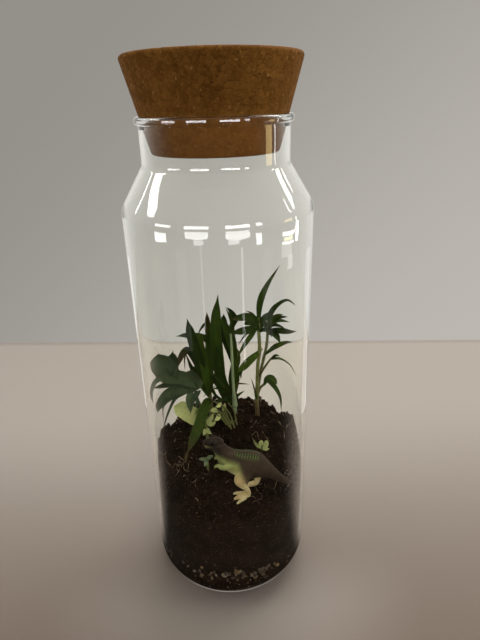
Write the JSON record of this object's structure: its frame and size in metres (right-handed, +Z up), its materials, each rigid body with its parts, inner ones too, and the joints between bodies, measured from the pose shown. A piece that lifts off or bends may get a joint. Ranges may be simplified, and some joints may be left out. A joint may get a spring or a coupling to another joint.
{
  "type": "glass plant terrarium",
  "caption": "Tall cylindrical glass jar with a tapered cork stopper, holding gravel, heaped soil, small leafy seedlings and a toy theropod figure.",
  "frame": {"origin": "centre of the jar's foot, on the surface that it stands on", "axes": "+Z up along the jar's axis, -Y the front of the planting, +X to the viewer's right"},
  "size_m": [0.086, 0.086, 0.2734],
  "materials": {
    "glass": "clear, smooth",
    "cork": "pressed cork granules",
    "gravel": "mixed light and tan grit",
    "soil": "dark crumbly potting soil",
    "palm_leaf": "dark green leaf, slight sheen",
    "grey_leaf": "grey-green leaf",
    "pale_leaf": "pale leaf with green specks",
    "figure_plastic": "moulded, painted brown, cream and green"
  },
  "bodies": {
    "root": {"glass_jar": "glass", "cork_stopper": "cork", "gravel_layer": "gravel", "soil": "soil", "palm_seedling_right": "palm_leaf", "palm_seedling_centre": "palm_leaf", "palm_seedling_left": "palm_leaf", "grey_green_frond": "grey_leaf", "variegated_creeper": "pale_leaf", "creeper_runner": "pale_leaf", "pale_sprig": "pale_leaf", "front_sprig": "palm_leaf", "theropod_figure": "figure_plastic"}
  },
  "joints": []
}
